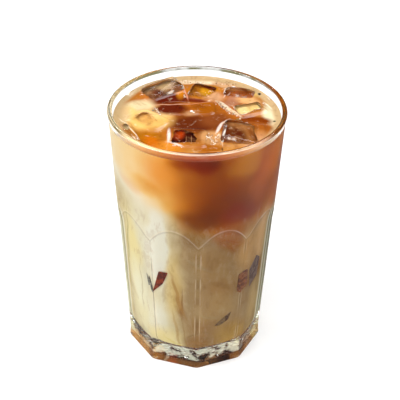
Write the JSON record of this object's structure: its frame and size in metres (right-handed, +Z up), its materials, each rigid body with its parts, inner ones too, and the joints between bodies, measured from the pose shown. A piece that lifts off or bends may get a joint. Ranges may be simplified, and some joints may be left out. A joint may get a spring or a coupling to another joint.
{
  "type": "iced coffee in a faceted glass",
  "caption": "Tall faceted drinking glass with arched flat sides and a thick foot, filled near the rim with layered iced coffee over milk and topped with melting ice blocks.",
  "frame": {"origin": "centre of the glass's foot, on the surface it stands on", "axes": "+Z up along the axis of the glass, -Y towards the front shown in the picture, +X to its right"},
  "size_m": [0.0884, 0.0884, 0.1376],
  "materials": {
    "clear_glass": "clear pressed glass, smooth and glossy",
    "coffee": "wet glossy coffee surface",
    "milky_coffee": "smooth milky drink with swirls",
    "clear_ice": "wet melting ice tinted by coffee"
  },
  "bodies": {
    "root": {"glass": "clear_glass", "coffee_layer": "coffee", "milk_layer": "milky_coffee", "ice_back_left": "clear_ice", "ice_back_middle": "clear_ice", "ice_back_right": "clear_ice", "ice_right": "clear_ice", "ice_front_right": "clear_ice", "ice_front": "clear_ice", "ice_left": "clear_ice", "ice_left_edge": "clear_ice", "ice_middle": "clear_ice"}
  },
  "joints": []
}
